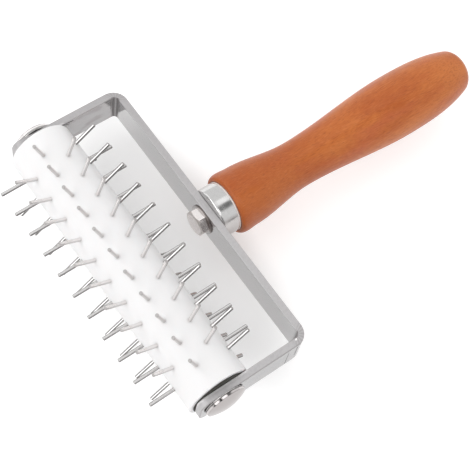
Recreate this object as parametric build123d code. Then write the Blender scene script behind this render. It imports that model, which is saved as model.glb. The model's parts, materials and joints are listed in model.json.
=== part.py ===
from build123d import *
import math
import os

# Dough docker: a pinned roller that spins on a rod in a bent yoke, with a turned wooden handle.
# X is the roller's axis, +Y runs to the handle, +Z is up. Lengths are in millimetres.

# Roller and its pins
roller_diameter = 25.4
roller_length = 119.4
roller_edge_radius = 0.5
pin_pitch = 10.0
pin_end_margin = 8.5
pin_diameter = 1.5
pin_sides = 6
pin_stand = 10.55
pin_seat_depth = 5.5
pin_fit = 0.02
row_count = 10
first_row_angle = -20.06

# Axle rod, its washers and its push-on caps
axle_diameter = 8.0
axle_end_chamfer = 0.5
axle_stand_out = 1.7
running_fit = 0.05
hole_fit = 0.1
thrust_washer_diameter = 22.4
thrust_washer_thickness = 0.3
side_play = 0.15
cap_radius = 8.4
cap_rim_height = 1.3
cap_dome_height = 2.0
cap_wall = 0.6
grip_thickness = 0.5
grip_fit = 0.05

# Yoke: flat bar bent to a square U
bar_width = 14.0
bar_thickness = 3.0
bar_edge_chamfer = 0.4
bend_inner_radius = 1.5
bend_outer_radius = 6.0
web_distance = 35.1
arm_end_distance = 10.5
arm_corner_radius = 4.0

# Screw that holds the handle, with its washer
screw_diameter = 6.0
screw_length = 40.0
screw_point_length = 6.0
head_across_flats = 10.0
head_height = 3.5
head_face_diameter = 8.6
head_chamfer_angle = 30.0
head_turn = 10.2
screw_washer_diameter = 12.4
screw_washer_thickness = 0.6

# Ferrule: steel cup between the yoke and the wood
ferrule_diameter = 21.0
ferrule_length = 7.7
ferrule_wall = 0.8
ferrule_edge_radius = 1.0
spigot_fit = 0.1

# Handle: turned wood
handle_length = 121.8
collar_diameter = 23.8
collar_flare_angle = 35.0
front_swell_diameter = 24.9
front_swell_place = 7.6
neck_diameter = 19.2
neck_place = 34.3
grip_diameter = 26.4
grip_place = 86.6
tail_diameter = 19.1
tail_place = 117.6
tail_taper_angle = 19.0
crown_diameter = 11.2
crown_place = 121.2
crown_taper_angle = 70.0
spigot_length = 6.4
screw_hole_spare = 1.5

# Worked-out sizes
roller_radius = roller_diameter / 2
axle_radius = axle_diameter / 2
pin_radius = pin_diameter / 2
pin_reach = roller_radius + pin_stand
row_step = 360 / row_count
full_row_pins = int((roller_length - 2 * pin_end_margin) / pin_pitch) + 1
arm_inner = roller_length / 2 + side_play + thrust_washer_thickness
arm_outer = arm_inner + bar_thickness
web_back = web_distance + bar_thickness
wood_start = web_back + ferrule_length
handle_end = wood_start + handle_length


def row_angle(row):
    """Lean of a pin row from +Z towards +Y, in degrees."""
    return first_row_angle + row * row_step


def tip_extent(sine, cosine):
    """How far a flat pin tip reaches along a direction, from its lean's sine and cosine to it."""
    return pin_reach * cosine + pin_radius * abs(sine)


def pin_tip_reach(direction):
    """Furthest reach of any pin tip from the axle towards a direction in degrees from +Z."""
    leans = [math.radians(row_angle(row) - direction) for row in range(row_count)]
    return max(tip_extent(math.sin(lean), math.cos(lean)) for lean in leans)


# The origin lies under the middle of the whole tool, at the lowest pin tip
front_reach = pin_tip_reach(-90)
axle_height = pin_tip_reach(180)
origin_shift = Location((0, (front_reach - handle_end) / 2, axle_height))


def along_x(radius, start, end):
    """Cylinder on the roller's axis between two places."""
    middle = (start + end) / 2
    return Pos(middle, 0, 0) * Rot(0, 90, 0) * Cylinder(radius, abs(end - start))


def along_y(radius, start, end):
    """Cylinder on the handle's axis between two places."""
    middle = (start + end) / 2
    return Pos(0, middle, 0) * Rot(90, 0, 0) * Cylinder(radius, abs(end - start))


def turned(lines, axis):
    """Solid of revolution of a closed outline in the XY plane."""
    return revolve(make_face(Wire(lines)), axis=axis)


def pin_places(row):
    """Places of one row's pins along X: full rows and rows shifted by half a pitch take turns."""
    count = full_row_pins - row % 2
    return [(index - (count - 1) / 2) * pin_pitch for index in range(count)]


def radial_pegs(row, radius, inner, outer):
    """Upright pegs of one row, turned to the row's lean. Few sides stand for each thin round pin."""
    peg = Pos(0, 0, inner) * extrude(RegularPolygon(radius, pin_sides, rotation=90), amount=outer - inner)
    pegs = [Pos(place, 0, 0) * peg for place in pin_places(row)]
    lean = Rot(-row_angle(row), 0, 0)
    return [lean * one for one in pegs]


def make_roller():
    """Bored plastic roller with rounded ends and a blind hole under every pin."""
    body = along_x(roller_radius, -roller_length / 2, roller_length / 2)
    rims = body.edges().filter_by(GeomType.CIRCLE)
    body = fillet(rims, roller_edge_radius)
    bore = along_x(axle_radius + running_fit, -roller_length, roller_length)
    holes = []
    for row in range(row_count):
        floor = roller_radius - pin_seat_depth - pin_fit
        holes += radial_pegs(row, pin_radius + pin_fit, floor, roller_radius + pin_stand)
    return body - [bore] - holes


def make_pin_row(row):
    """One row of blunt pins, each a solid of its own, standing in the roller's holes."""
    return Compound(children=radial_pegs(row, pin_radius, roller_radius - pin_seat_depth, pin_reach))


def make_axle_rod():
    """Plain rod through the roller and both arms, chamfered at its ends."""
    half = arm_outer + axle_stand_out
    rod = along_x(axle_radius, -half, half)
    return chamfer(rod.edges().filter_by(GeomType.CIRCLE), axle_end_chamfer)


def both_ends(piece):
    """The piece at the right end of the axle and its mirror image at the left end."""
    return Compound(children=[mirror(piece, about=Plane.YZ), piece])


def make_thrust_washers():
    """Plain washers on the rod that keep the roller's ends off the arms."""
    disc = along_x(thrust_washer_diameter / 2, arm_inner - thrust_washer_thickness, arm_inner)
    return both_ends(disc - along_x(axle_radius + hole_fit, 0, arm_outer))


def dome_outline(radius, base, rim, dome):
    """Half outline of a domed cap along X: upright rim, then a round crown."""
    crown = base + rim + dome
    ball = (radius ** 2 + dome ** 2) / (2 * dome)
    half_way = math.asin(radius / ball) / 2
    middle = (crown - ball + ball * math.cos(half_way), ball * math.sin(half_way))
    return [
        Line((base, 0), (base, radius)),
        Line((base, radius), (base + rim, radius)),
        ThreePointArc((base + rim, radius), middle, (crown, 0)),
        Line((crown, 0), (base, 0)),
    ]


def make_axle_caps():
    """Hollow domed caps over the rod's ends, with their rims on the arms' outer faces."""
    shell = turned(dome_outline(cap_radius, arm_outer, cap_rim_height, cap_dome_height), Axis.X)
    inner_dome = cap_dome_height - cap_wall
    hollow = turned(dome_outline(cap_radius - cap_wall, arm_outer, cap_rim_height, inner_dome), Axis.X)
    return both_ends(shell - hollow)


def make_cap_grips():
    """Spring discs inside the caps that grip the rod's ends."""
    disc = along_x(cap_radius - cap_wall - grip_fit, arm_outer, arm_outer + grip_thickness)
    return both_ends(disc - along_x(axle_radius + grip_fit, 0, arm_outer + axle_stand_out))


def make_yoke():
    """Flat bar bent to a square U, drawn thinner in its bends, with rounded arm ends and its holes."""
    outer = FilletPolyline(
        (-arm_outer, -arm_end_distance),
        (-arm_outer, web_back),
        (arm_outer, web_back),
        (arm_outer, -arm_end_distance),
        radius=bend_outer_radius,
    )
    inner = FilletPolyline(
        (arm_inner, -arm_end_distance),
        (arm_inner, web_distance),
        (-arm_inner, web_distance),
        (-arm_inner, -arm_end_distance),
        radius=bend_inner_radius,
    )
    feet = [Line(outer @ 1, inner @ 0), Line(inner @ 1, outer @ 0)]
    face = make_face(outer.edges() + inner.edges() + feet)
    bar = extrude(face, amount=bar_width / 2, both=True)
    corners = bar.edges().filter_by(Axis.X).group_by(Axis.Y)[0]
    bar = fillet(corners, arm_corner_radius)
    faces = bar.faces().filter_by(Axis.Z)
    bar = chamfer(faces.edges(), bar_edge_chamfer)
    axle_hole = along_x(axle_radius + hole_fit, -arm_outer - bar_thickness, arm_outer + bar_thickness)
    screw_hole = along_y(screw_diameter / 2 + hole_fit, 0, web_back + bar_thickness)
    return bar - axle_hole - screw_hole


def make_ferrule():
    """Steel cup with a round front edge: its floor lies on the yoke, the wood's spigot fills it."""
    radius = ferrule_diameter / 2
    cup = along_y(radius, web_back, wood_start)
    front = cup.edges().filter_by(GeomType.CIRCLE).sort_by(Axis.Y)[0]
    cup = fillet(front, ferrule_edge_radius)
    cup -= along_y(radius - ferrule_wall, web_back + ferrule_wall, handle_end)
    return cup - along_y(screw_diameter / 2 + hole_fit, web_distance, wood_start)


def make_handle():
    """Turned handle: spigot, collar, front swell, neck, long grip and a blunt domed end, with its screw hole."""
    places = [0, front_swell_place, neck_place, grip_place, tail_place, crown_place, handle_length]
    diameters = [collar_diameter, front_swell_diameter, neck_diameter, grip_diameter, tail_diameter,
                 crown_diameter, 0]
    leans = [collar_flare_angle, 0, 0, 0, -tail_taper_angle, -crown_taper_angle, -90]
    points = [(diameter / 2, wood_start + place) for diameter, place in zip(diameters, places)]
    headings = [(math.sin(math.radians(lean)), math.cos(math.radians(lean))) for lean in leans]
    outline = [
        Spline(points[i], points[i + 1], tangents=[headings[i], headings[i + 1]])
        for i in range(len(points) - 1)
    ]
    spigot_radius = ferrule_diameter / 2 - ferrule_wall - spigot_fit
    spigot_start = wood_start - spigot_length
    core = [
        Line((0, handle_end), (0, spigot_start)),
        Line((0, spigot_start), (spigot_radius, spigot_start)),
        Line((spigot_radius, spigot_start), (spigot_radius, wood_start)),
        Line((spigot_radius, wood_start), (collar_diameter / 2, wood_start)),
    ]
    wood = turned(outline + core, Axis.Y)
    hole_end = web_distance - screw_washer_thickness + screw_length + screw_hole_spare
    return wood - along_y(screw_diameter / 2 + pin_fit, web_back, hole_end)


def make_handle_screw():
    """Hexagon-head wood screw, its head's front corners turned off to a round face."""
    under_head = web_distance - screw_washer_thickness
    front = under_head - head_height
    face_radius = head_face_diameter / 2
    corner_radius = head_across_flats / math.sqrt(3)
    chamfer_depth = (corner_radius - face_radius) * math.tan(math.radians(head_chamfer_angle))
    flats = Plane(origin=(0, front, 0), x_dir=(1, 0, 0), z_dir=(0, 1, 0))
    hexagon = RegularPolygon(corner_radius, 6, rotation=head_turn)
    head = extrude(flats * hexagon, amount=head_height)
    turned_head = turned([
        Line((0, front), (face_radius, front)),
        Line((face_radius, front), (corner_radius, front + chamfer_depth)),
        Line((corner_radius, front + chamfer_depth), (corner_radius, under_head)),
        Line((corner_radius, under_head), (0, under_head)),
        Line((0, under_head), (0, front)),
    ], Axis.Y)
    shank_radius = screw_diameter / 2
    tip = under_head + screw_length
    shoulder = tip - screw_point_length
    shank = turned([
        Line((0, under_head), (shank_radius, under_head)),
        Line((shank_radius, under_head), (shank_radius, shoulder)),
        Line((shank_radius, shoulder), (0, tip)),
        Line((0, tip), (0, under_head)),
    ], Axis.Y)
    return (head & turned_head) + shank


def make_screw_washer():
    """Thin washer between the screw's head and the yoke."""
    disc = along_y(screw_washer_diameter / 2, web_distance - screw_washer_thickness, web_distance)
    return disc - along_y(screw_diameter / 2 + hole_fit, 0, web_back)


pieces = {
    "handle": make_handle(),
    "ferrule": make_ferrule(),
    "yoke": make_yoke(),
    "handle_screw": make_handle_screw(),
    "screw_washer": make_screw_washer(),
    "axle_rod": make_axle_rod(),
    "thrust_washers": make_thrust_washers(),
    "axle_caps": make_axle_caps(),
    "cap_grips": make_cap_grips(),
    "roller": make_roller(),
}
for row in range(row_count):
    pieces[f"pin_row_{row + 1:02d}"] = make_pin_row(row)

os.makedirs("parts", exist_ok=True)
for name, piece in pieces.items():
    export_step(origin_shift * piece, f"parts/{name}.step")
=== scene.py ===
import json
import math

import bpy
import numpy as np
from mathutils import Euler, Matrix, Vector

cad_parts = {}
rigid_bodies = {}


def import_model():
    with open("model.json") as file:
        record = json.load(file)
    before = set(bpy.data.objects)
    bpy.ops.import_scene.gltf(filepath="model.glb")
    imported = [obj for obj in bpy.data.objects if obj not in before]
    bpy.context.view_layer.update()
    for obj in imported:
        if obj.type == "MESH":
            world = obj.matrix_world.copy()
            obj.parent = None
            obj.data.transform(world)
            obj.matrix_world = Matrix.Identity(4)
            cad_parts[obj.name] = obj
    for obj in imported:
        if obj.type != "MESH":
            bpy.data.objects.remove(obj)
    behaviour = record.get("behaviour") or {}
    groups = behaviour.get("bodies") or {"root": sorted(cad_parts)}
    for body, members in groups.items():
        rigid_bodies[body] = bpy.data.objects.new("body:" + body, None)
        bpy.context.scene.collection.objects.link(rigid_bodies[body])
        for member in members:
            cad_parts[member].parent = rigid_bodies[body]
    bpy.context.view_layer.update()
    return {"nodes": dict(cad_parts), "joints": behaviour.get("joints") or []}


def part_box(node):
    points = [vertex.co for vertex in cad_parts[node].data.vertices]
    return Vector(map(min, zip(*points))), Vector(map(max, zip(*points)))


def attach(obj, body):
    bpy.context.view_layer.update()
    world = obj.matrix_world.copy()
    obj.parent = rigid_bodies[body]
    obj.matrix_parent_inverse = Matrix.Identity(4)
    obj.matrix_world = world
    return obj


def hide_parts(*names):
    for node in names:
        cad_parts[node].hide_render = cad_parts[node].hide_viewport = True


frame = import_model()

# Dough docker: a pinned plastic roller in a bent steel yoke, on a turned and lacquered wooden handle.
# Lengths are in millimetres from the axle's middle, and become metres of the shared frame in make_piece.
# X is the roller's axis, +Y runs to the handle's end, +Z is up.
# A name that ends in FADE holds the two places between which a look comes or goes.

SPIN = frame["joints"][0]
AXLE = np.array(SPIN["pos_m"])
FRAME_BODY, ROLLER_BODY = SPIN["parent"], SPIN["child"]


def node_box(node):
    """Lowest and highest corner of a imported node, in millimetres from the axle's middle."""
    low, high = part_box(node)
    return (np.array(low) - AXLE) * 1000, (np.array(high) - AXLE) * 1000


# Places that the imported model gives
YOKE_LOW, YOKE_HIGH = node_box("yoke")
ROLLER_HIGH = node_box("roller")[1]
FERRULE_LOW, FERRULE_HIGH = node_box("ferrule")
SCREW_LOW, SCREW_HIGH = node_box("handle_screw")
WASHER_LOW, WASHER_HIGH = node_box("screw_washer")
CAP_HIGH = node_box("axle_caps")[1]
PIN_ROWS = sorted(node for node in frame["nodes"] if node.startswith("pin_row"))

# Roller and pins
ROLLER_RADIUS = ROLLER_HIGH[2]
ROLLER_EDGE_RADIUS = 0.5
BORE_EDGE_RADIUS = 0.3
BORE_RADIUS = 4.05
PIN_PITCH = 10.0
PIN_RADIUS = 0.75
PIN_REACH = 23.25
PIN_FOOT = 7.2
PIN_TIP_EDGE = 0.18
PIN_SIDES = 12
FULL_ROW_PINS = 11
FIRST_ROW_ANGLE = -20.06
ROW_STEP = 360 / len(PIN_ROWS)
# Leans in degrees where the painted light of the upright rows, and the painted shade of one row below, comes
# and goes
UPRIGHT_FADES = ((-72, -64), (24, 44))
SHADED_ROW_FADES = ((100, 110), (138, 146))

# Yoke
BAR_THICKNESS = 3.0
BAR_EDGE_RADIUS = 0.3
BEND_INNER_RADIUS = 1.5
BEND_OUTER_RADIUS = 6.0
ARM_CORNER_RADIUS = 4.0
BEND_SQUEEZE = 0.025
BEND_RADIUS = (BEND_INNER_RADIUS + BEND_OUTER_RADIUS) / 2
BEND_PLACE = YOKE_HIGH[0] - BAR_THICKNESS / 2 - BEND_RADIUS + BEND_RADIUS * math.pi / 4
BAR_HALF_LENGTH = (BEND_PLACE + BEND_RADIUS * math.pi / 4 + YOKE_HIGH[1] - BAR_THICKNESS / 2 - BEND_RADIUS
                   - YOKE_LOW[1])

# Marks, painted light and painted shade on the yoke, placed on the straight bar: along it from its middle or
# past the middle of a bend, and outwards and up from its middle line
INNER_FACE, OUTER_FACE = -BAR_THICKNESS / 2, BAR_THICKNESS / 2
RIB_PITCH = 1.05
RIB_FADE = (2.6, 5.2)
# Places past the bend between which the painted light on the arms' inner edges comes in
LIT_EDGE_FADE = (24.0, 26.0)
# Places along the bar between which the painted shade on the edges towards the left end fades
FAR_SHADE_FADE = (-50.0, 20.0)
# Painted reflection on the arms' inner faces: where its lower line starts past the bend, and how steeply it
# rises
REFLECTION_START, REFLECTION_SLOPE = 2.9, 1.6
# Middle of the painted glint at the right bend's inner corner: along the bar and outwards
GLINT_PLACE = (BEND_PLACE + 3.2, -0.95)
# Each pressed crease: place past the bend, lowest and highest end
PRESS_MARKS = [(2.9, -2.2, 5.8), (6.8, -5.9, 4.6)]
# Dark line inside the left arm: start and end along Y, height at the start, fall for each step along Y
FAR_LINE = (10.2, 15.4, 6.55, 0.12)

# Axle caps
CAP_RADIUS = CAP_HIGH[1]
CAP_NECK_RADIUS = 7.7
CAP_WALL = 0.6
CAP_CROWN_RADIUS = 20.5
CAP_CROWN_EDGE = 7.9
CAP_SHOULDER_RADIUS = 0.3
CAP_BEVEL_TILT = math.radians(70)
CAP_RIM_RADIUS = 0.2
CAP_RIM_TURN = math.radians(150)
CAP_NECK_HEIGHT, CAP_NECK_FLARE = 0.3, 0.05
CAP_FOOT_WALL, CAP_FOOT_HEIGHT = 0.45, 0.6
CAP_INNER_EDGE = 7.2

# Screw, washer and ferrule
HEAD_ACROSS_FLATS = 10.0
HEAD_FACE_RADIUS = 4.6
HEAD_CHAMFER = math.radians(30)
HEAD_HEIGHT = 3.5
HEAD_TURN = math.radians(10.2)
HEAD_CORNER_RADIUS = 5.62
# Places across between which the painted highlight on the head's left flats fades
HEAD_HIGHLIGHT_FADE = (1.4, 2.4)
SHANK_RADIUS = 3.0
SHANK_POINT = 6.0
WASHER_THICKNESS = 0.6
FERRULE_WALL = 0.8
FERRULE_EDGE_RADIUS = 1.0
# Width of the painted highlight on the ferrule's rear rim, and heights between which the painted shade on
# its lower side fades
FERRULE_HIGHLIGHT = 0.7
FERRULE_SHADE_FADE = (6.3, 7.8)

# Turned handle: shaping places along its axis, radius and lean of the outline there
HANDLE_START = FERRULE_HIGH[1]
HANDLE_PLACES = np.array([0, 7.6, 34.3, 86.6, 117.6, 121.2, 121.8])
HANDLE_RADII = np.array([11.9, 12.45, 9.6, 13.2, 9.55, 5.6, 0.0])
HANDLE_LEANS = np.radians([35.0, 0, 0, 0, -19.0, -70.0, -90.0])
SPIGOT_RADIUS = 9.6
SPIGOT_LENGTH = 6.4
SPIGOT_EDGE = 0.2
COLLAR_FACE = 0.7
FRONT_FADE = (20.0, 65.0)


# Mesh making

def surface(points, loop=False, poles=(False, False)):
    """Points and four-cornered faces of a surface whose columns close round.

    A face joins two neighbours of a row to the same two of the next row. A loop joins the last row to the
    first. A row that is a pole counts as its first point alone, so that a face there has a corner twice."""
    rows, columns = points.shape[:2]
    number = np.arange(rows * columns).reshape(rows, columns)
    number[0] = number[0, 0] if poles[0] else number[0]
    number[-1] = number[-1, 0] if poles[1] else number[-1]
    low = number if loop else number[:-1]
    high = np.roll(number, -1, 0) if loop else number[1:]
    faces = np.stack([low, np.roll(low, -1, 1), np.roll(high, -1, 1), high], -1).reshape(-1, 4)
    points = points.reshape(-1, 3)
    a, b, c, d = (points[faces[:, k]] for k in range(4))
    volume = np.einsum("ij,ij", a, np.cross(b, c)) + np.einsum("ij,ij", a, np.cross(c, d))
    return points, faces if volume > 0 else faces[:, ::-1]


def make_piece(name, surfaces, finish, body, nodes=(), marks=None, sharp=42.0):
    """Object of one or more surfaces, smooth but for edges sharper than the given degrees.

    marks, where given, is a name and an array of three numbers for every point, kept as an attribute."""
    counts = np.cumsum([0] + [len(points) for points, _ in surfaces])
    points = np.concatenate([points for points, _ in surfaces])
    corners = np.concatenate([faces + count for (_, faces), count in zip(surfaces, counts)])
    used, corners = np.unique(corners, return_inverse=True)
    corners = corners.reshape(-1, 4)
    kept = corners != np.roll(corners, 1, 1)
    sizes = kept.sum(1)
    mesh = bpy.data.meshes.new(name)
    mesh.vertices.add(len(used))
    mesh.vertices.foreach_set("co", (points[used] / 1000 + AXLE).astype(np.float32).ravel())
    mesh.loops.add(int(sizes.sum()))
    mesh.loops.foreach_set("vertex_index", corners[kept].astype(np.int32))
    mesh.polygons.add(len(sizes))
    mesh.polygons.foreach_set("loop_start", (np.cumsum(sizes) - sizes).astype(np.int32))
    mesh.update(calc_edges=True)
    mesh.polygons.foreach_set("use_smooth", np.ones(len(sizes), bool))
    mesh.set_sharp_from_angle(angle=math.radians(sharp))
    if marks:
        layer = mesh.attributes.new(marks[0], "FLOAT_VECTOR", "POINT")
        layer.data.foreach_set("vector", marks[1].reshape(-1, 3)[used].astype(np.float32).ravel())
    mesh.materials.append(finish)
    mesh.validate()
    piece = bpy.data.objects.new(name, mesh)
    bpy.context.scene.collection.objects.link(piece)
    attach(piece, body)
    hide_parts(*nodes)
    return piece


def softened(corners, radii, steps=6):
    """Outline through the corners, where an arc of each corner's radius meets both sides squarely.

    The arc's middle is on the line that halves the corner, and its points turn evenly from side to side."""
    corners = np.asarray(corners, float)
    line = []
    for index, radius in enumerate(radii):
        here = corners[index]
        back = corners[index - 1] - here
        ahead = corners[(index + 1) % len(corners)] - here
        back, ahead = back / np.linalg.norm(back), ahead / np.linalg.norm(ahead)
        half = math.acos(np.clip(back @ ahead, -1, 1)) / 2
        halving = (back + ahead) / np.linalg.norm(back + ahead)
        middle = here + halving * radius / math.sin(half)
        first, last = (here + side * radius / math.tan(half) - middle for side in (back, ahead))
        turn = math.pi - 2 * half
        share = np.linspace(0, 1, steps + 1)[:, None]
        arc = np.sin((1 - share) * turn) * first + np.sin(share * turn) * last
        line.append(middle + arc / math.sin(turn))
    return np.concatenate(line)


def turned(outline, axis, around=96):
    """Surface of revolution: point = place along the axis + radius * (cos u * up + sin u * side).

    The outline is an array of places and radii, and u goes once round."""
    u = np.linspace(0, 2 * math.pi, around, endpoint=False)
    axis, up = np.asarray(axis, float), np.array([0.0, 0.0, 1.0])
    spoke = np.cos(u)[:, None] * up + np.sin(u)[:, None] * np.cross(axis, up)
    return outline[:, 0, None, None] * axis + outline[:, 1, None, None] * spoke


def both_ends(points):
    """The surface's points at the right end of the axle, and their mirror image at the left end."""
    return [points, points * np.array([-1, 1, 1])]


# Node making: a new node goes into the tree of the node outputs that it is made from

def node_beside(kind, *values):
    """New node in the tree of the first value that is a node's output."""
    output = next(value for value in values if isinstance(value, bpy.types.NodeSocket))
    return output.id_data.nodes.new(kind)


def join(value, socket):
    """Sets a socket to a number or colour, or links a node's output to it."""
    if isinstance(value, bpy.types.NodeSocket):
        socket.id_data.links.new(value, socket)
    else:
        socket.default_value = value


def maths(operation, *values):
    """Result of a Math node."""
    node = node_beside("ShaderNodeMath", *values)
    node.operation = operation
    for value, socket in zip(values, node.inputs):
        join(value, socket)
    return node.outputs[0]


def times(*values):
    """Product of the values."""
    product = values[0]
    for value in values[1:]:
        product = maths("MULTIPLY", product, value)
    return product


def plus(*values):
    """Sum of the values."""
    total = values[0]
    for value in values[1:]:
        total = maths("ADD", total, value)
    return total


def minus(first, second):
    """First value less the second."""
    return maths("SUBTRACT", first, second)


def size_of(value):
    """The value without its sign."""
    return maths("ABSOLUTE", value)


def distance(first, second):
    """Square root of the sum of both values' squares."""
    return maths("SQRT", plus(maths("POWER", first, 2.0), maths("POWER", second, 2.0)))


def stretched(vector, stretch, shift=(0, 0, 0)):
    """A vector with each part multiplied by its stretch, then shifted."""
    node = node_beside("ShaderNodeMapping", vector)
    join(vector, node.inputs["Vector"])
    node.inputs["Scale"].default_value = stretch
    node.inputs["Location"].default_value = shift
    return node.outputs[0]


def place_in_mm(tree):
    """Object coordinates in millimetres from the axle's middle."""
    place = tree.nodes.new("ShaderNodeTexCoord").outputs["Object"]
    return stretched(place, (1000, 1000, 1000), tuple(-AXLE * 1000))


def attribute(tree, name):
    """Vector that a piece keeps at its points."""
    node = tree.nodes.new("ShaderNodeAttribute")
    node.attribute_name = name
    return node.outputs["Vector"]


def parts_of(vector):
    """The three parts of a vector."""
    node = node_beside("ShaderNodeSeparateXYZ", vector)
    join(vector, node.inputs[0])
    return node.outputs[0], node.outputs[1], node.outputs[2]


def noise(vector, stretch, detail=2.0, rough=0.5, shift=(0, 0, 0)):
    """Noise from 0 to 1 on a stretched vector."""
    node = node_beside("ShaderNodeTexNoise", vector)
    join(stretched(vector, stretch, shift), node.inputs["Vector"])
    for name, number in (("Scale", 1.0), ("Detail", detail), ("Roughness", rough)):
        node.inputs[name].default_value = number
    return node.outputs[0]


def between(value, low, high, at_low=0.0, at_high=1.0):
    """Smooth step of a value: at_low up to low, at_high from high."""
    node = node_beside("ShaderNodeMapRange", value)
    node.interpolation_type = "SMOOTHSTEP"
    join(value, node.inputs["Value"])
    for name, number in (("From Min", low), ("From Max", high), ("To Min", at_low), ("To Max", at_high)):
        node.inputs[name].default_value = number
    return node.outputs[0]


def falling(value, low, high, most=1.0):
    """Smooth step of a value: the most up to low, 0 from high."""
    return between(value, low, high, most, 0.0)


def within(value, low, high, blur):
    """1 where the value is from low to high and 0 beyond, with each limit blurred to both sides."""
    return times(between(value, low - blur, low + blur), falling(value, high - blur, high + blur))


def tinted(share, first, second):
    """Colour that goes from the first to the second as the share goes from 0 to 1."""
    node = node_beside("ShaderNodeMix", share)
    node.data_type = "RGBA"
    join(share, node.inputs[0])
    for value, socket in ((first, node.inputs[6]), (second, node.inputs[7])):
        join(value if isinstance(value, bpy.types.NodeSocket) else (*value, 1), socket)
    return node.outputs[2]


def layered(colour, *layers):
    """Colour with layers laid over it in turn, each one a share and the colour that it brings."""
    for share, paint in layers:
        colour = tinted(share, colour, paint)
    return colour


def raised(height, depth, under=None):
    """Bump normal of a height from 0 to 1, where 1 stands the given millimetres proud."""
    node = node_beside("ShaderNodeBump", height)
    node.inputs["Strength"].default_value = 1.0
    node.inputs["Distance"].default_value = depth / 1000
    join(height, node.inputs["Height"])
    if under:
        join(under, node.inputs["Normal"])
    return node.outputs[0]


def start_finish(name, **settings):
    """New material, its node tree and its shader, with the shader's named sockets set."""
    material = bpy.data.materials.new(name)
    material.use_nodes = True
    shader = material.node_tree.nodes["Principled BSDF"]
    for socket, value in settings.items():
        shader.inputs[socket.replace("_", " ")].default_value = value
    return material, material.node_tree, shader


def fill(shader, colour, rough, normal, metal=None):
    """Joins a finish's colour, roughness and normal to its shader, and its share of metal if it varies."""
    values = {"Base Color": colour, "Roughness": rough, "Normal": normal, "Metallic": metal}
    for name, value in values.items():
        if value is not None:
            join(value, shader.inputs[name])


# Finishes

def lacquered_wood():
    """Orange-brown lacquered wood: cloudy shades, fibres and pores, and a dark line at the ferrule."""
    material, tree, shader = start_finish("lacquered_wood", Specular_IOR_Level=0.25, Coat_Weight=0.25,
                                          Coat_Roughness=0.2, Coat_IOR=1.5)
    place = place_in_mm(tree)
    across, along, up = parts_of(place)
    fibres = noise(place, (3.0, 0.22, 3.0), detail=4, rough=0.6)
    fine_fibres = noise(place, (4.0, 0.32, 4.0), detail=4, rough=0.6)
    patches = noise(place, (0.085, 0.028, 0.085), detail=3, rough=0.6, shift=(3, 7, 1))
    reds = noise(place, (0.12, 0.04, 0.12), shift=(11, 2, 6))
    pores = between(noise(place, (3.6, 0.35, 3.6), shift=(9, 2, 4)), 0.54, 0.74)
    lathe = noise(place, (0.02, 0.9, 0.02))
    shade = plus(times(fibres, 0.45), times(patches, 0.75))
    front = falling(minus(along, HANDLE_START), *FRONT_FADE, 0.55)
    radius = distance(across, up)
    collar = times(falling(radius, FERRULE_HIGH[0] + 0.1, FERRULE_HIGH[0] + 0.5, 0.85),
                   falling(along, HANDLE_START + 0.1, HANDLE_START + 0.5))
    colour = tinted(between(shade, 0.42, 0.80), (0.60, 0.175, 0.036), (0.44, 0.095, 0.016))
    colour = layered(
        colour,
        (between(reds, 0.45, 0.75, 0.0, 0.6), (0.49, 0.105, 0.036)),
        (front, (0.40, 0.085, 0.014)),
        (between(fine_fibres, 0.5, 0.75, 0.0, 0.45), (0.63, 0.215, 0.065)),
        (falling(fine_fibres, 0.28, 0.5, 0.25), (0.35, 0.075, 0.015)),
        (times(pores, 0.5), (0.25, 0.052, 0.015)),
        (collar, (0.10, 0.03, 0.012)))
    height = minus(plus(times(fibres, 0.5), times(lathe, 0.7)), times(pores, 0.6))
    fill(shader, colour, between(fibres, 0.2, 0.8, 0.40, 0.54), raised(height, 0.02))
    return material


class BarPlace:
    """Where a point lies on the straight bar, as node outputs with plain names.

    past_bend goes from the middle of the nearer bend to the arm's end, and forwards is the place along Y.
    to_edge is 0 on the flat faces and grows to the corner's radius at the narrow ones, where edge is 1."""

    def __init__(self, tree):
        self.place = attribute(tree, "straight_bar")
        self.along, self.outwards, self.up = parts_of(self.place)
        self.forwards = parts_of(place_in_mm(tree))[1]
        from_middle = size_of(self.along)
        self.past_bend = minus(from_middle, BEND_PLACE)
        self.from_bend = size_of(self.past_bend)
        past_straight = minus(from_middle, BAR_HALF_LENGTH - ARM_CORNER_RADIUS)
        past_flat = minus(size_of(self.up), YOKE_HIGH[2] - ARM_CORNER_RADIUS)
        self.to_edge = distance(maths("MAXIMUM", past_straight, 0.0), maths("MAXIMUM", past_flat, 0.0))
        self.edge = between(self.to_edge, ARM_CORNER_RADIUS - 0.6, ARM_CORNER_RADIUS - 0.1)
        self.inner_face = falling(self.outwards, INNER_FACE + 0.05, INNER_FACE + 0.2)


def bar_grit(at):
    """Fine dark specks, fainter on the inner face."""
    specks = noise(at.place, (1.1, 0.9, 0.9), detail=3, rough=0.7, shift=(2, 5, 3))
    return times(between(specks, 0.45, 0.62, 0.0, 0.35),
                 between(at.outwards, INNER_FACE - 0.1, INNER_FACE + 0.2, 0.2, 1.0))


def lit_arm_edges(at):
    """Painted light: the inner side of the arms' edges, lightened and made less mirror-like from a place
    past the bends.
    """
    return times(falling(at.outwards, INNER_FACE + 0.3, INNER_FACE + 1.1, 0.6),
                 between(at.past_bend, *LIT_EDGE_FADE))


def lighter_inside(at):
    """Lighter inner face, more so on the web than on the arms."""
    lighter = between(at.past_bend, -4.0, -1.0, 0.6, 0.15)
    return times(at.inner_face, lighter, minus(1.0, at.edge))


def smudged_arms(at):
    """Dull smudges on the arms' inner faces."""
    smudges = noise(at.place, (0.11, 0.1, 0.26), detail=3, shift=(4, 0, 9))
    return times(between(smudges, 0.5, 0.68, 0.0, 0.55), at.inner_face, between(at.past_bend, 1.0, 4.0))


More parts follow.
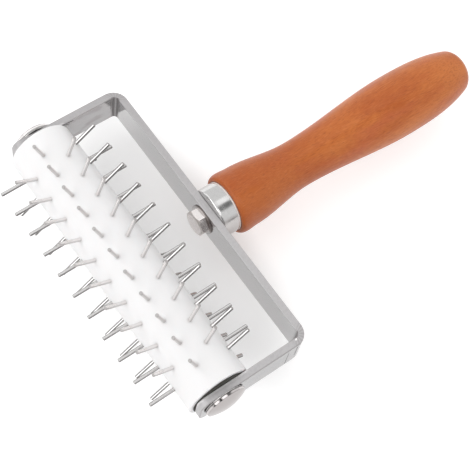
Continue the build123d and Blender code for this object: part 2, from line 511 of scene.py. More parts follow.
def arm_reflection(at):
    """Painted dark reflection on the arms' inner faces, above a line that rises from the bend."""
    above = minus(at.up, times(minus(at.past_bend, REFLECTION_START), REFLECTION_SLOPE))
    return times(between(above, -0.3, 0.8), at.inner_face, between(at.past_bend, 1.5, 2.5), 0.8)


def bend_ribs(at):
    """Fine ribs across the bends, 0 in a groove and 1 on a crest: half of a sine plus one."""
    wave = maths("SINE", times(at.along, 2 * math.pi / RIB_PITCH))
    return times(plus(times(wave, 0.5), 0.5), falling(at.from_bend, *RIB_FADE))


def inner_corners(at):
    """Where the inner side of the bar is folded at the bends, which takes painted stripes of reflection and
    a painted shadow.
    """
    return times(falling(at.outwards, INNER_FACE + 0.15, INNER_FACE + 0.4),
                 falling(at.from_bend, 2.0, 4.4))


def press_marks(at):
    """Thin creases that the bending tool pressed across the outer face, past both bends; their dark colour
    is painted shade.
    """
    marks = 0.0
    for middle, low, high in PRESS_MARKS:
        width = falling(size_of(minus(at.past_bend, middle)), 0.12, 0.3)
        marks = maths("MAXIMUM", times(width, within(at.up, low, high, 0.4)), marks)
    return times(marks, between(at.outwards, OUTER_FACE - 0.5, OUTER_FACE - 0.1))


def outer_arris(at):
    """Dark line along the outer edge of the arms."""
    line = between(at.to_edge, ARM_CORNER_RADIUS - 0.3, ARM_CORNER_RADIUS - 0.15)
    return times(between(at.outwards, OUTER_FACE - 0.4, OUTER_FACE - 0.2),
                 between(at.past_bend, 1.5, 3.0, 0.0, 0.5), line)


def painted_glint(at):
    """Painted glint: a small bright spot on the top edge, at the right bend's inner corner."""
    away = distance(minus(at.along, GLINT_PLACE[0]), minus(at.outwards, GLINT_PLACE[1]))
    return times(falling(away, 0.3, 0.55), between(at.up, YOKE_HIGH[2] - 0.7, YOKE_HIGH[2] - 0.4))


def far_arm_line(at):
    """Dark line inside the left arm, falling along Y from its start to its end."""
    start, end, height, slope = FAR_LINE
    off_line = minus(plus(at.up, times(minus(at.forwards, start), slope)), height)
    left_inside = times(falling(at.along, -1.0, 1.0, 0.9),
                        falling(at.outwards, INNER_FACE + 0.3, INNER_FACE + 0.5))
    return times(falling(size_of(off_line), 0.22, 0.42), left_inside, within(at.forwards, start, end, 0.5))


def satin_bar_steel():
    """Satin flat bar: brushed along, filed across its edges, marked by bending and handling, with painted
    light and shade.
    """
    material, tree, shader = start_finish("satin_bar_steel")
    shader.inputs["Specular Tint"].default_value = (0.8, 0.8, 0.8, 1)
    at = BarPlace(tree)
    brushed = noise(at.place, (0.12, 3.0, 3.0), detail=4, rough=0.6)
    filed = noise(at.place, (3.2, 0.25, 0.25), detail=3, rough=0.6)
    cloudy = noise(at.place, (0.09, 0.3, 0.16), detail=4, rough=0.6)
    mirrored_stripes = between(noise(at.place, (1.5, 0.01, 0.02)), 0.35, 0.65, 0.7, 1.0)
    lit_edges = lit_arm_edges(at)
    ribs = bend_ribs(at)
    corners = inner_corners(at)
    creases = press_marks(at)
    # Painted shade: the bar's edges are darker towards the left end
    far_shade = falling(at.along, *FAR_SHADE_FADE, 0.35)
    fold_shadow = falling(at.from_bend, 0.5, 1.3, 0.6)
    colour = tinted(between(cloudy, 0.3, 0.7), (0.565, 0.56, 0.565), (0.61, 0.59, 0.595))
    colour = layered(
        colour,
        (times(brushed, 0.3), (0.47, 0.47, 0.47)),
        (times(at.edge, 0.7), (0.515, 0.50, 0.505)),
        (bar_grit(at), (0.43, 0.42, 0.423)),
        # Painted light on the arms' inner edges
        (times(lit_edges, at.edge), (0.88, 0.87, 0.87)),
        (times(at.edge, far_shade), (0.40, 0.385, 0.39)),
        (lighter_inside(at), (0.74, 0.735, 0.735)),
        (smudged_arms(at), (0.43, 0.385, 0.395)),
        (times(ribs, at.edge, 0.65), (0.36, 0.34, 0.342)),
        # Painted reflection stripes and a painted shadow in the folded inner corners
        (times(corners, mirrored_stripes), (0.25, 0.235, 0.235)),
        (times(corners, fold_shadow), (0.10, 0.094, 0.094)),
        # Painted dark reflection on the arms' inner faces
        (arm_reflection(at), (0.36, 0.35, 0.348)),
        # Painted shade in the pressed creases
        (times(creases, 0.95), (0.11, 0.105, 0.10)),
        (outer_arris(at), (0.27, 0.25, 0.255)),
        # Painted glint at the right bend's inner corner
        (painted_glint(at), (0.97, 0.96, 0.95)),
        (far_arm_line(at), (0.15, 0.142, 0.142)))
    rough = plus(between(cloudy, 0.25, 0.75, 0.10, 0.19), times(at.edge, 0.3), times(corners, 0.45))
    metal = minus(1.0, times(at.edge, plus(times(lit_edges, 0.6), 0.6)))
    lines = plus(times(brushed, 0.55), times(filed, at.edge, 0.9))
    normal = raised(ribs, 0.05, raised(lines, 0.010))
    fill(shader, colour, rough, raised(minus(1.0, creases), 0.14, normal), metal)
    return material


def polished_ferrule_steel():
    """Polished steel cup with rings from spinning and faint rubs, painted shade on its lower side and a
    painted highlight on its rear rim.
    """
    material, tree, shader = start_finish("polished_ferrule_steel")
    place = place_in_mm(tree)
    _, along, up = parts_of(place)
    rings = noise(place, (0.05, 5.0, 0.05), detail=3)
    rubs = noise(place, (0.5, 0.5, 0.5), detail=4, rough=0.65)
    highlight_start = FERRULE_HIGH[1] - FERRULE_HIGHLIGHT
    rim = between(along, highlight_start - 0.08, highlight_start + 0.08)
    # Painted shade on the lower side and a painted highlight on the rear rim
    colour = layered(tinted(rubs, (0.70, 0.695, 0.69), (0.62, 0.615, 0.61)),
                     (falling(up, *FERRULE_SHADE_FADE, 0.75), (0.44, 0.41, 0.40)),
                     (rim, (0.99, 0.97, 0.94)))
    rough = plus(between(rubs, 0.35, 0.75, 0.13, 0.24), times(rim, 0.3))
    metal = minus(1.0, times(rim, 0.75))
    fill(shader, colour, rough, raised(rings, 0.004), metal)
    return material


def cap_chrome():
    """Bright pressed caps with faint smudges and rubs.

    Both have painted shade at the neck and under the bevel, faint on the left cap. The right cap's crown is
    painted darker as shade, and the left cap's foot is painted light and less metallic."""
    material, tree, shader = start_finish("cap_chrome")
    place = place_in_mm(tree)
    across, along, up = parts_of(place)
    smudges = noise(place, (0.35, 0.35, 0.35), detail=4, rough=0.6)
    rubs = noise(place, (2.5, 2.5, 2.5), detail=3)
    radius = distance(along, up)
    from_arm = minus(size_of(across), YOKE_HIGH[0])
    right_cap = between(across, -1.0, 1.0)
    # Painted shade under the bevel and at the neck, strong on the right cap and faint on the left
    bevel_foot = times(between(from_arm, 0.34, 0.42), falling(from_arm, 0.55, 0.85, 0.9))
    neck = times(falling(radius, CAP_NECK_RADIUS + 0.1, CAP_NECK_RADIUS + 0.25, 0.9),
                 falling(from_arm, 0.5, 0.6))
    grime_and_shade = times(maths("MAXIMUM", bevel_foot, neck), between(across, -1.0, 1.0, 0.08, 1.0))
    # Painted shade: the right cap's crown is darker
    crown = times(right_cap, between(from_arm, 1.25, 1.4, 0.0, 0.8))
    # Painted light: the left cap's foot is lighter and less metallic
    lit_foot = times(falling(from_arm, 1.1, 1.3), minus(1.0, right_cap))
    colour = layered(tinted(smudges, (0.59, 0.555, 0.55), (0.52, 0.495, 0.49)),
                     (crown, (0.40, 0.372, 0.367)),
                     (lit_foot, (0.93, 0.91, 0.90)),
                     (grime_and_shade, (0.07, 0.062, 0.056)))
    metal = minus(1.0, times(lit_foot, 0.8))
    fill(shader, colour, between(smudges, 0.35, 0.75, 0.04, 0.10), raised(rubs, 0.003), metal)
    return material


def screw_plating(name, colour, rough):
    """Plated steel with a slightly uneven, cold-formed skin and worn, brighter spots."""
    material, tree, shader = start_finish(name, Metallic=1.0)
    place = place_in_mm(tree)
    skin = noise(place, (0.9, 0.9, 0.9), detail=4, rough=0.6)
    grain = noise(place, (4.5, 4.5, 4.5))
    wear_and_highlight = tuple(min(1.0, part * 1.18) for part in colour)
    fill(shader, tinted(between(skin, 0.35, 0.7), colour, wear_and_highlight),
         between(skin, 0.3, 0.7, rough * 0.8, rough * 1.35), raised(grain, 0.008))
    return material


def head_steel():
    """Plated hexagon head: pressed flats with a painted highlight on the left, and a duller chamfer cut on a
    lathe.

    The chamfer is where the depth behind the front face is no more than the cone's height at that radius."""
    material, tree, shader = start_finish("head_steel", Metallic=1.0)
    place = place_in_mm(tree)
    across, along, up = parts_of(place)
    skin = noise(place, (0.9, 0.9, 0.9), detail=4, rough=0.6)
    grain = noise(place, (4.5, 4.5, 4.5))
    behind_face = minus(along, SCREW_LOW[1])
    cone = times(minus(distance(across, up), HEAD_FACE_RADIUS), math.tan(HEAD_CHAMFER))
    chamfer = falling(minus(behind_face, cone), 0.12, 0.2)
    # Painted highlight on the flats on the left
    wear_and_highlight = times(falling(across, *HEAD_HIGHLIGHT_FADE, 0.85), between(behind_face, 0.15, 0.3))
    colour = tinted(between(skin, 0.35, 0.7), (0.70, 0.65, 0.63), (0.82, 0.775, 0.76))
    colour = layered(colour, (wear_and_highlight, (0.99, 0.945, 0.93)), (chamfer, (0.60, 0.56, 0.54)))
    rough = plus(between(skin, 0.3, 0.7, 0.15, 0.26), times(chamfer, 0.1))
    fill(shader, colour, rough, raised(grain, 0.008))
    return material


def ring_steel():
    """Plain washer: satin face, a rolled rim painted dark as shade, and a patch of painted shade on the
    right.
    """
    material, tree, shader = start_finish("ring_steel", Metallic=1.0)
    place = place_in_mm(tree)
    across, _, up = parts_of(place)
    skin = noise(place, (1.2, 1.2, 1.2), detail=4, rough=0.6)
    # Painted shade: a dark line on the rim and a dark patch on the right side
    rim = between(distance(across, up), WASHER_HIGH[0] - 0.16, WASHER_HIGH[0] - 0.04)
    ragged = plus(across, times(up, 0.3), skin)
    right_shade = times(between(ragged, 3.6, 4.6), between(up, -0.8, 0.2))
    dark = maths("MAXIMUM", times(rim, 0.8), times(right_shade, 0.9))
    colour = layered(tinted(skin, (0.52, 0.50, 0.49), (0.44, 0.425, 0.42)), (dark, (0.23, 0.20, 0.188)))
    fill(shader, colour, between(skin, 0.3, 0.7, 0.26, 0.38), raised(skin, 0.01))
    return material


def pin_wire():
    """Bright drawn wire: painted shade along both flanks, varied by drawing marks, and a duller cut face at
    the tip.

    The look differs by the row's lean from +Z towards +Y at rest: upright rows have painted light and weaker
    painted shade on the flanks, and one row below is painted dark as shade."""
    material, tree, shader = start_finish("pin_wire", Metallic=1.0)
    shader.inputs["Specular Tint"].default_value = (0.9, 0.89, 0.88, 1)
    place = attribute(tree, "along_pin")
    flank, _, along = parts_of(place)
    _, forwards, up = parts_of(place_in_mm(tree))
    lean = times(maths("ARCTAN2", forwards, up), 180 / math.pi)
    drawn = noise(place, (3.5, 3.5, 0.12), detail=3)
    # Painted light on the upright rows and painted shade on one row below, by each row's lean at rest
    upright = times(between(lean, *UPRIGHT_FADES[0]), falling(lean, *UPRIGHT_FADES[1]))
    shaded_row = times(between(lean, *SHADED_ROW_FADES[0], 0.0, 0.65), falling(lean, *SHADED_ROW_FADES[1]))
    # Painted shade along both flanks, weaker on the upright rows
    flank_shade = times(between(size_of(flank), 0.36, 0.58), between(drawn, 0.3, 0.6, 0.65, 0.95),
                    between(upright, 0.0, 1.0, 1.0, 0.42))
    tip = between(along, PIN_REACH - 0.25, PIN_REACH - 0.02)
    colour = layered(tinted(drawn, (0.77, 0.76, 0.755), (0.68, 0.67, 0.665)),
                     (times(upright, 0.5), (0.93, 0.885, 0.88)),
                     (shaded_row, (0.22, 0.208, 0.20)),
                     (flank_shade, (0.16, 0.152, 0.148)),
                     (times(tip, 0.7), (0.40, 0.385, 0.38)))
    rough = plus(between(drawn, 0.3, 0.7, 0.06, 0.12), times(tip, 0.55))
    fill(shader, colour, rough, raised(drawn, 0.006))
    return material


def pin_seats(across, along, up):
    """Pressed ring round every pin of the roller, by the distance to the nearest pin.

    That comes from the angle round the roller and the place along it: each row leans one row step more than
    the one before, and every second row is shifted by half a pitch."""
    lean = times(maths("ARCTAN2", along, up), 180 / math.pi)
    rows_from_first = maths("DIVIDE", minus(lean, FIRST_ROW_ANGLE), ROW_STEP)
    row = maths("ROUND", rows_from_first)
    round_about = times(minus(rows_from_first, row), math.radians(ROW_STEP) * ROLLER_RADIUS)
    shifted = times(maths("FLOORED_MODULO", row, 2.0), 0.5)
    pitches = plus(maths("DIVIDE", across, PIN_PITCH), shifted)
    lengthwise = times(minus(pitches, maths("ROUND", pitches)), PIN_PITCH)
    to_pin = distance(round_about, lengthwise)
    end_pin = (FULL_ROW_PINS - 1) / 2 * PIN_PITCH
    return times(falling(to_pin, PIN_RADIUS + 0.05, PIN_RADIUS + 0.6),
                 falling(size_of(across), end_pin + 1.5, end_pin + 2.5))


def roller_plastic():
    """Warm white plastic with faint turning rings, light scuffs, and a pressed ring round every pin,
    darkened as painted shade.
    """
    material, tree, shader = start_finish("roller_plastic", Subsurface_Weight=0.12, Subsurface_Scale=0.0015)
    shader.inputs["Subsurface Radius"].default_value = (1.0, 0.85, 0.8)
    place = place_in_mm(tree)
    seats_and_shade = pin_seats(*parts_of(place))
    rings = noise(place, (2.6, 0.03, 0.03), detail=3)
    scuffs = noise(place, (0.5, 0.25, 0.25), detail=5, rough=0.65)
    cloudy = noise(place, (0.06, 0.06, 0.06))
    colour = layered(tinted(cloudy, (0.905, 0.895, 0.90), (0.89, 0.885, 0.885)),
                     (between(scuffs, 0.6, 0.8, 0.0, 0.25), (0.82, 0.80, 0.795)),
                     # Painted shade in the pressed ring round every pin
                     (times(seats_and_shade, 0.25), (0.66, 0.63, 0.62)))
    normal = raised(minus(1.0, seats_and_shade), 0.06, raised(rings, 0.012))
    fill(shader, colour, between(scuffs, 0.3, 0.7, 0.38, 0.5), normal)
    return material


def washer_fibre():
    """Matt dark fibre washer with rub rings from the roller's end."""
    material, tree, shader = start_finish("washer_fibre", Specular_IOR_Level=0.3)
    place = place_in_mm(tree)
    _, along, up = parts_of(place)
    rub = maths("SINE", times(distance(along, up), 9.0))
    grime_and_shade = noise(place, (0.7, 0.7, 0.7), detail=4)
    fill(shader, tinted(grime_and_shade, (0.035, 0.034, 0.028), (0.06, 0.058, 0.048)),
         between(grime_and_shade, 0.3, 0.7, 0.5, 0.7), raised(rub, 0.01))
    return material


# Roller with its pins

def roller_points():
    """Outline of a bored cylinder with rounded ends, turned round X."""
    half = ROLLER_HIGH[0]
    corners = [(-half, BORE_RADIUS), (-half, ROLLER_RADIUS), (half, ROLLER_RADIUS), (half, BORE_RADIUS)]
    radii = [BORE_EDGE_RADIUS, ROLLER_EDGE_RADIUS, ROLLER_EDGE_RADIUS, BORE_EDGE_RADIUS]
    return turned(softened(corners, radii, steps=8), (1, 0, 0), around=144)


def pin_points(row):
    """Blunt round pins of one row: each is an outline of radius and height, turned round its own axis.

    Each pin's axis leans by the row's angle from +Z towards +Y. The second array holds the points' places
    on their pin: two across it, and the distance from the roller's axis."""
    outline = np.array([(0, PIN_FOOT), (PIN_RADIUS, PIN_FOOT), (PIN_RADIUS, PIN_REACH - PIN_TIP_EDGE),
                        (PIN_RADIUS - PIN_TIP_EDGE, PIN_REACH), (0, PIN_REACH)])
    u = np.linspace(0, 2 * math.pi, PIN_SIDES, endpoint=False)
    own = np.stack([outline[:, :1] * np.cos(u), outline[:, :1] * np.sin(u),
                    np.repeat(outline[:, 1:], PIN_SIDES, 1)], -1)
    lean = math.radians(FIRST_ROW_ANGLE + row * ROW_STEP)
    sideways = np.array([0, math.cos(lean), -math.sin(lean)])
    outwards = np.array([0, math.sin(lean), math.cos(lean)])
    pin = own[..., :1] * np.array([1, 0, 0]) + own[..., 1:2] * sideways + own[..., 2:] * outwards
    count = FULL_ROW_PINS - row % 2
    places = (np.arange(count) - (count - 1) / 2) * PIN_PITCH
    return pin + places[:, None, None, None] * np.array([1, 0, 0]), np.repeat(own[None], count, 0)


# Yoke

def yoke_path():
    """Middle line of the bent bar: left arm, quarter circle, web, quarter circle, right arm.

    The outer and the inner face each have their own bend radius, and the middle line runs half way between.
    Returns its places in the XY plane, the unit directions to the outer face, the half thicknesses, the
    lengths along the line from its middle, and the distances to the nearer end."""
    bend_steps, corner_steps, arm_steps, web_steps = 24, 16, 11, 15
    turn = np.radians(np.linspace(0, 90, bend_steps + 1))
    bend_way = np.stack([-np.cos(turn), np.sin(turn)], 1)
    start = YOKE_LOW[1]
    near_end = ARM_CORNER_RADIUS * (1 - np.cos(np.radians(np.linspace(0, 90, corner_steps + 1))))
    faces = []
    for depth, radius in ((0, BEND_OUTER_RADIUS), (BAR_THICKNESS, BEND_INNER_RADIUS)):
        arm, web = YOKE_HIGH[:2] - depth
        straight = np.linspace(start + ARM_CORNER_RADIUS, web - radius, arm_steps + 1)[1:-1]
        up = np.concatenate([start + near_end, straight])
        left_arm = np.stack([np.full(len(up), -arm), up], 1)
        left_bend = np.array([radius - arm, web - radius]) + radius * bend_way
        half_web = np.stack([np.linspace(radius - arm, 0, web_steps + 1)[1:], np.full(web_steps, web)], 1)
        left = np.concatenate([left_arm, left_bend, half_web])
        faces.append(np.concatenate([left, (left * np.array([-1, 1]))[-2::-1]]))
    outer, inner = faces
    places, through = (outer + inner) / 2, outer - inner
    thickness = np.linalg.norm(through, axis=1)
    lengths = np.concatenate([[0], np.cumsum(np.linalg.norm(np.diff(places, axis=0), axis=1))])
    from_end = np.minimum(lengths, lengths[-1] - lengths)
    return places, through / thickness[:, None], thickness / 2, lengths - lengths[-1] / 2, from_end


def bar_section():
    """Rounded rectangle: for each point the side of the core across and up, and the edge's own direction.

    A point lies at core share * (half size - edge radius) + edge direction * edge radius."""
    edge_points, flat_points = 6, 6
    quarter = np.radians(np.linspace(0, 90, edge_points))
    signs = [(1, -1), (1, 1), (-1, 1), (-1, -1)]
    shares, ways = [], []
    for index, (across, up) in enumerate(signs):
        turn = quarter + math.radians(90 * (index - 1))
        shares.append(np.tile((across, up), (edge_points, 1)))
        ways.append(np.stack([np.cos(turn), np.sin(turn)], 1))
        if index % 2 == 0:
            flat = np.linspace(-across, across, flat_points + 2)[1:-1]
            shares.append(np.stack([np.full(flat_points, across), flat], 1))
            ways.append(np.tile((float(across), 0.0), (flat_points, 1)))
    return np.concatenate(shares).astype(float), np.concatenate(ways)


def yoke_points():
    """Rounded bar section carried along the yoke's path.

    Within a corner radius of an end, the half width is its straight part plus the height of the corner's
    circle there, and within an edge radius both half sizes shrink by the same rule. In the bends the inside
    is a little wider than the outside. The second array holds the points' places on the straight bar."""
    places, ways, half_thickness, lengths, from_end = yoke_path()
    shares, edges = bar_section()
    inset = BAR_EDGE_RADIUS - np.sqrt(np.maximum(0, BAR_EDGE_RADIUS ** 2
                                                 - np.maximum(0, BAR_EDGE_RADIUS - from_end) ** 2))
    corner = ARM_CORNER_RADIUS - np.sqrt(np.maximum(0, ARM_CORNER_RADIUS ** 2
                                                    - np.maximum(0, ARM_CORNER_RADIUS - from_end) ** 2))
    half = np.stack([half_thickness - inset, YOKE_HIGH[2] - corner - inset], 1)
    section = (half[:, None] - BAR_EDGE_RADIUS) * shares + BAR_EDGE_RADIUS * edges
    across, up = section[..., 0], section[..., 1]
    bent = np.clip(1 - abs(abs(lengths) - BEND_PLACE) / BEND_RADIUS, 0, 1)
    bent = (bent ** 2 * (3 - 2 * bent))[:, None]
    up = up * (1 - BEND_SQUEEZE * bent * across / (BAR_THICKNESS / 2))
    points = np.stack([places[:, :1] + ways[:, :1] * across, places[:, 1:] + ways[:, 1:] * across, up], -1)
    return points, np.stack([np.repeat(lengths[:, None], across.shape[1], 1), across, up], -1)


def closed_ends(points):
    """The rows of points with one more at each end, drawn together to the end row's middle as a pole."""
    first, last = (np.repeat(points[row].mean(0)[None], points.shape[1], 0)[None] for row in (0, -1))
    return np.concatenate([first, points, last])


# Axle caps

def cap_points():
    """Pressed cap turned round X: crown of a large ball, round shoulder, steep bevel, rim and narrower neck.

    Shoulder and rim are arcs whose points turn evenly from one side's slope to the next one's. The outline
    goes over the outside from the pole and back up the inside, one wall thickness in."""
    base = YOKE_HIGH[0]
    crown = CAP_HIGH[0]
    ball = np.linspace(0, math.asin(CAP_CROWN_EDGE / CAP_CROWN_RADIUS), 16)
    outer = np.stack([crown - CAP_CROWN_RADIUS * (1 - np.cos(ball)), CAP_CROWN_RADIUS * np.sin(ball)], 1)
    tilt = np.linspace(ball[-1], CAP_BEVEL_TILT, 8)[1:]
    middle = outer[-1] - CAP_SHOULDER_RADIUS * np.array([math.cos(ball[-1]), math.sin(ball[-1])])
    shoulder = middle + CAP_SHOULDER_RADIUS * np.stack([np.cos(tilt), np.sin(tilt)], 1)
    tilt = np.linspace(CAP_BEVEL_TILT, CAP_RIM_TURN, 8)
    rim = CAP_RIM_RADIUS * np.stack([np.cos(tilt), np.sin(tilt)], 1)
    rim[:, 1] += CAP_RADIUS - rim[:, 1].max()
    rim[:, 0] += shoulder[-1, 0] - rim[0, 0] - (rim[0, 1] - shoulder[-1, 1]) * math.tan(CAP_BEVEL_TILT)
    foot = CAP_NECK_RADIUS - CAP_FOOT_WALL
    neck = np.array([(base + CAP_NECK_HEIGHT, CAP_NECK_RADIUS + CAP_NECK_FLARE), (base, CAP_NECK_RADIUS),
                     (base, foot), (base + CAP_FOOT_HEIGHT, foot)])
    inner_ball = ball[::-1]
    inner = np.stack([crown - CAP_WALL - CAP_CROWN_RADIUS * (1 - np.cos(inner_ball)),
                      (CAP_CROWN_RADIUS - CAP_WALL) * np.sin(inner_ball)], 1)
    inner = inner[inner[:, 1] < CAP_INNER_EDGE]
    return turned(np.concatenate([outer, shoulder, rim, neck, inner]), (1, 0, 0), around=120)


# Ferrule, washer and screw

def ferrule_points():
    """Cup with a floor, a round front edge and a slightly eased rear edge, turned round Y."""
    front, rear, radius = FERRULE_LOW[1], FERRULE_HIGH[1], FERRULE_HIGH[0]
    inner = radius - FERRULE_WALL
    corners = [(front, SHANK_RADIUS), (front, radius), (rear, radius), (rear, inner),
               (front + FERRULE_WALL, inner), (front + FERRULE_WALL, SHANK_RADIUS)]
    outline = softened(corners, [0.1, FERRULE_EDGE_RADIUS, 0.2, 0.15, 0.4, 0.1])
    return turned(outline, (0, 1, 0), around=120)


def washer_points():
    """Flat ring with eased edges, turned round Y."""
    back, radius = WASHER_HIGH[1], WASHER_HIGH[0]
    front = back - WASHER_THICKNESS
    corners = [(front, SHANK_RADIUS), (front, radius), (back, radius), (back, SHANK_RADIUS)]
    return turned(softened(corners, [0.1, 0.16, 0.16, 0.1], steps=4), (0, 1, 0))


def screw_points():
    """Hexagon head and plain shank round Y, with a pole at each end.

    The head's radius at angle u is half its width divided by the cosine of the angle from the nearest flat,
    and no more than the rounded corner's radius. The front chamfer is a cone from the round face to it. The
    rows run from the front face to the tip, and their tenths of a millimetre ease the edges."""
    under = WASHER_HIGH[1] - WASHER_THICKNESS
    front = under - HEAD_HEIGHT
    u = np.linspace(0, 2 * math.pi, 144, endpoint=False)
    from_flat = (u + HEAD_TURN) % (math.pi / 3) - math.pi / 6
    flats = np.minimum(HEAD_ACROSS_FLATS / 2 / np.cos(from_flat), HEAD_CORNER_RADIUS)
    slope = math.tan(HEAD_CHAMFER)
    tip = SCREW_HIGH[1]
    ones = np.ones_like(u)
    rows = [(0 * u, front * ones), (HEAD_FACE_RADIUS * 0.93 * ones, front * ones),
            (HEAD_FACE_RADIUS * ones, (front + 0.03) * ones),
            (flats - 0.06, front + 0.02 + (flats - 0.06 - HEAD_FACE_RADIUS) * slope),
            (flats, front + 0.1 + (flats - HEAD_FACE_RADIUS) * slope), (flats, (under - 0.12) * ones),
            (flats - 0.1, under * ones), (SHANK_RADIUS * ones, under * ones),
            (SHANK_RADIUS * ones, (tip - SHANK_POINT) * ones), (0 * u, tip * ones)]
    radius, place = (np.array(column) for column in zip(*rows))
    return np.stack([radius * np.cos(u), place, -radius * np.sin(u)], -1)


# Handle

def handle_points():
    """Turned wood round Y, from the spigot in the ferrule to the domed end.

    Between two shaping places the outline is a cubic: it follows the lean at each end, with a speed equal
    to the straight distance between the two places. The collar's front edge is a small parabola."""
    knots = np.stack([HANDLE_START + HANDLE_PLACES, HANDLE_RADII], 1)
    ways = np.stack([np.cos(HANDLE_LEANS), np.sin(HANDLE_LEANS)], 1)
    start, end = knots[:-1, None], knots[1:, None]
    reach = np.linalg.norm(end - start, axis=2, keepdims=True)
    t = np.linspace(0, 1, 29)[None, :-1, None]
    spans = ((2 * t ** 3 - 3 * t ** 2 + 1) * start + (t ** 3 - 2 * t ** 2 + t) * reach * ways[:-1, None]
             + (3 * t ** 2 - 2 * t ** 3) * end + (t ** 3 - t ** 2) * reach * ways[1:, None])
    profile = np.concatenate([spans.reshape(-1, 2), knots[-1:]])
    ease = np.linspace(0, 1, 6)[:, None]
    face = knots[0] - np.array([0, COLLAR_FACE])
    eased_points = 3
    edge = (1 - ease) ** 2 * face + 2 * ease * (1 - ease) * knots[0] + ease ** 2 * profile[eased_points]
    foot = HANDLE_START - SPIGOT_LENGTH
    spigot = np.array([(foot, 0), (foot, SPIGOT_RADIUS - SPIGOT_EDGE), (foot + SPIGOT_EDGE, SPIGOT_RADIUS),
                       (HANDLE_START, SPIGOT_RADIUS)])
    return turned(np.concatenate([spigot, edge, profile[eased_points + 1:]]), (0, 1, 0), around=160)


wood = lacquered_wood()
bar_steel = satin_bar_steel()
ferrule_steel = polished_ferrule_steel()
chrome = cap_chrome()
head_plating = head_steel()
ring_plating = ring_steel()
rod_steel = screw_plating("rod_steel", (0.55, 0.54, 0.53), 0.26)
wire = pin_wire()
white_plastic = roller_plastic()
dark_fibre = washer_fibre()

bar, on_bar = yoke_points()
# A closed surface has a pole at each end, or comes back to its first row
solid = {"poles": (True, True)}
ring = {"loop": True}
make_piece("handle_wood", [surface(handle_points(), **solid)], wood, FRAME_BODY, ["handle"])
make_piece("ferrule_cup", [surface(ferrule_points(), **ring)], ferrule_steel, FRAME_BODY,
           ["ferrule"])
make_piece("yoke_bar", [surface(closed_ends(bar), **solid)], bar_steel, FRAME_BODY, ["yoke"],
           marks=("straight_bar", closed_ends(on_bar)), sharp=50)
make_piece("screw_head", [surface(screw_points(), **solid)], head_plating, FRAME_BODY,
           ["handle_screw"], sharp=24)
make_piece("screw_ring", [surface(washer_points(), **ring)], ring_plating, FRAME_BODY,
           ["screw_washer"])
caps = [surface(points, **solid) for points in both_ends(cap_points())]
make_piece("domed_caps", caps, chrome, FRAME_BODY, ["axle_caps"])
make_piece("roller_body", [surface(roller_points(), **ring)], white_plastic, ROLLER_BODY,
           ["roller"])
for row, node in enumerate(PIN_ROWS):
    points, on_pins = pin_points(row)
    pins = [surface(pin, **solid) for pin in points]
    make_piece(f"pins_{row + 1:02d}", pins, wire, ROLLER_BODY, [node],
               marks=("along_pin", on_pins), sharp=35)

for node, finish in (("axle_rod", rod_steel), ("cap_grips", rod_steel), ("thrust_washers", dark_fibre)):
    frame["nodes"][node].data.materials.clear()
    frame["nodes"][node].data.materials.append(finish)


# Studio: pale floor, surroundings and a soft lamp

# Half the floor's width, in metres
FLOOR_HALF = 3
# Painted shadow on the floor: a darker oval seen through the yoke's window, its middle and half widths in
# millimetres
SHADE_MIDDLE, SHADE_HALF = (-8.0, 32.0), (60.0, 18.0)
ROOM_SHADE = 0.865
# Middle of a patch, cosines where it starts and is full, and its brightness
STUDIO_PATCHES = [
    ((0.70, -0.68, 0.24), 0.90, 0.93, 0.15),
    ((0.93, -0.20, 0.25), 0.93, 0.965, 0.46),
    ((0.25, 0.90, 0.35), 0.80, 0.95, 1.0),
    ((-0.08, 0.32, 0.94), 0.97, 0.99, 1.25),
    ((-0.62, -0.70, 0.32), 0.92, 0.95, 0.2),
    ((0.08, -0.83, 0.53), 0.955, 0.967, 2.4),
    ((0.42, -0.77, 0.47), 0.972, 0.982, 2.0),
    ((0.47, -0.08, 0.85), 0.965, 0.975, 1.9),
    ((0.47, -0.47, 0.74), 0.992, 0.997, 0.1),
    ((0.33, 0.33, 0.88), 0.955, 0.997, 0.20),
    ((0.94, 0.35, 0.04), 0.996, 0.999, 0.25),
    ((-0.85, -0.20, 0.45), 0.90, 0.96, 1.3),
]
# The lamp and the point that it faces, in metres
OBJECT_MIDDLE = (0.0, -0.02, 0.02)
LAMP_PLACE, LAMP_SIZE, LAMP_WATTS = (-0.42, -0.72, 0.78), 0.6, 1.9

# Camera fitted to the pins, the roller and the yoke in the photograph: lens and place in millimetres, turns
# in degrees
CAMERA_LENS = 92.191
CAMERA_PLACE = (149.974, -115.618, 409.344)
CAMERA_TURNS = (26.3265, -6.4796, 54.0527)


def seen_directly(tree):
    """1 for rays from the camera, a mirror or clear stuff, and 0 for rays that carry light."""
    path = tree.nodes.new("ShaderNodeLightPath")
    seen = maths("MAXIMUM", path.outputs["Is Camera Ray"], path.outputs["Is Glossy Ray"])
    return maths("MAXIMUM", seen, path.outputs["Is Transmission Ray"])


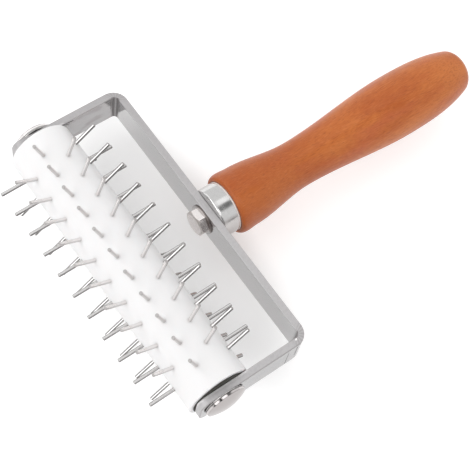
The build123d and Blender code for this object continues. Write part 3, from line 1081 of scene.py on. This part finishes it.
def studio_floor():
    """Pale floor that takes the shadow, lifted to white where it is looked at, but less in an oval of
    painted shadow.
    """
    mesh = bpy.data.meshes.new("floor")
    corners = [(-FLOOR_HALF, -FLOOR_HALF, 0), (FLOOR_HALF, -FLOOR_HALF, 0), (FLOOR_HALF, FLOOR_HALF, 0),
               (-FLOOR_HALF, FLOOR_HALF, 0)]
    mesh.from_pydata(corners, [], [(0, 1, 2, 3)])
    material = bpy.data.materials.new("studio_floor")
    material.use_nodes = True
    tree = material.node_tree
    tree.nodes.clear()
    matt = tree.nodes.new("ShaderNodeBsdfDiffuse")
    seen = seen_directly(tree)
    join(tinted(seen, (0.95, 0.95, 0.95), (0.68, 0.68, 0.68)), matt.inputs["Color"])
    lift = tree.nodes.new("ShaderNodeEmission")
    across, along, _ = parts_of(place_in_mm(tree))
    away = [maths("DIVIDE", minus(place, middle), half)
            for place, middle, half in zip((across, along), SHADE_MIDDLE, SHADE_HALF)]
    # Less lift inside the oval paints a shadow there
    white = between(distance(*away), 0.8, 1.6, 0.27, 0.53)
    join(times(seen, white), lift.inputs["Strength"])
    both = tree.nodes.new("ShaderNodeAddShader")
    output = tree.nodes.new("ShaderNodeOutputMaterial")
    join(matt.outputs[0], both.inputs[0])
    join(lift.outputs[0], both.inputs[1])
    join(both.outputs[0], output.inputs["Surface"])
    mesh.materials.append(material)
    floor = bpy.data.objects.new("floor", mesh)
    bpy.context.scene.collection.objects.link(floor)


def studio_surroundings():
    """Pale room with bright soft panels and dark gaps, white where the camera looks past the floor.

    Each panel or gap is a round patch: it fades in where the cosine to its middle passes its two limits."""
    world = bpy.data.worlds.new("studio")
    bpy.context.scene.world = world
    world.use_nodes = True
    tree = world.node_tree
    way = tree.nodes.new("ShaderNodeTexCoord").outputs["Generated"]
    room = (ROOM_SHADE, ROOM_SHADE, ROOM_SHADE)
    for middle, outside, inside, shade in STUDIO_PATCHES:
        nearness = tree.nodes.new("ShaderNodeVectorMath")
        nearness.operation = "DOT_PRODUCT"
        join(way, nearness.inputs[0])
        nearness.inputs[1].default_value = np.array(middle) / np.linalg.norm(middle)
        patch = between(nearness.outputs["Value"], outside, inside)
        room = tinted(patch, room, (shade, shade, shade))
    path = tree.nodes.new("ShaderNodeLightPath")
    colour = tinted(path.outputs["Is Camera Ray"], room, (1, 1, 1))
    join(colour, tree.nodes["Background"].inputs["Color"])


def soft_lamp(name, place, aim, size, watts):
    """Square soft lamp at a place, turned to face its aim."""
    lamp = bpy.data.lights.new(name, "AREA")
    lamp.shape = "SQUARE"
    lamp.size = size
    lamp.energy = watts
    lamp_object = bpy.data.objects.new(name, lamp)
    lamp_object.location = place
    way = np.array(aim) - np.array(place)
    flat = math.hypot(way[0], way[1])
    tilt, heading = math.atan2(flat, -way[2]), math.atan2(way[1], way[0])
    lamp_object.rotation_euler = Euler((tilt, 0, heading - math.pi / 2))
    bpy.context.scene.collection.objects.link(lamp_object)


def camera_like_the_photograph():
    """Camera at the photograph's place."""
    camera = bpy.data.cameras.new("camera")
    camera.lens = CAMERA_LENS
    camera.sensor_width = 36
    camera.clip_start = 0.01
    camera_object = bpy.data.objects.new("camera", camera)
    camera_object.location = AXLE + np.array(CAMERA_PLACE) / 1000
    camera_object.rotation_euler = Euler([math.radians(turn) for turn in CAMERA_TURNS])
    bpy.context.scene.collection.objects.link(camera_object)
    bpy.context.scene.camera = camera_object


studio_floor()
studio_surroundings()
soft_lamp("front_lamp", LAMP_PLACE, OBJECT_MIDDLE, LAMP_SIZE, LAMP_WATTS)
camera_like_the_photograph()
bpy.context.scene.view_settings.view_transform = "Standard"
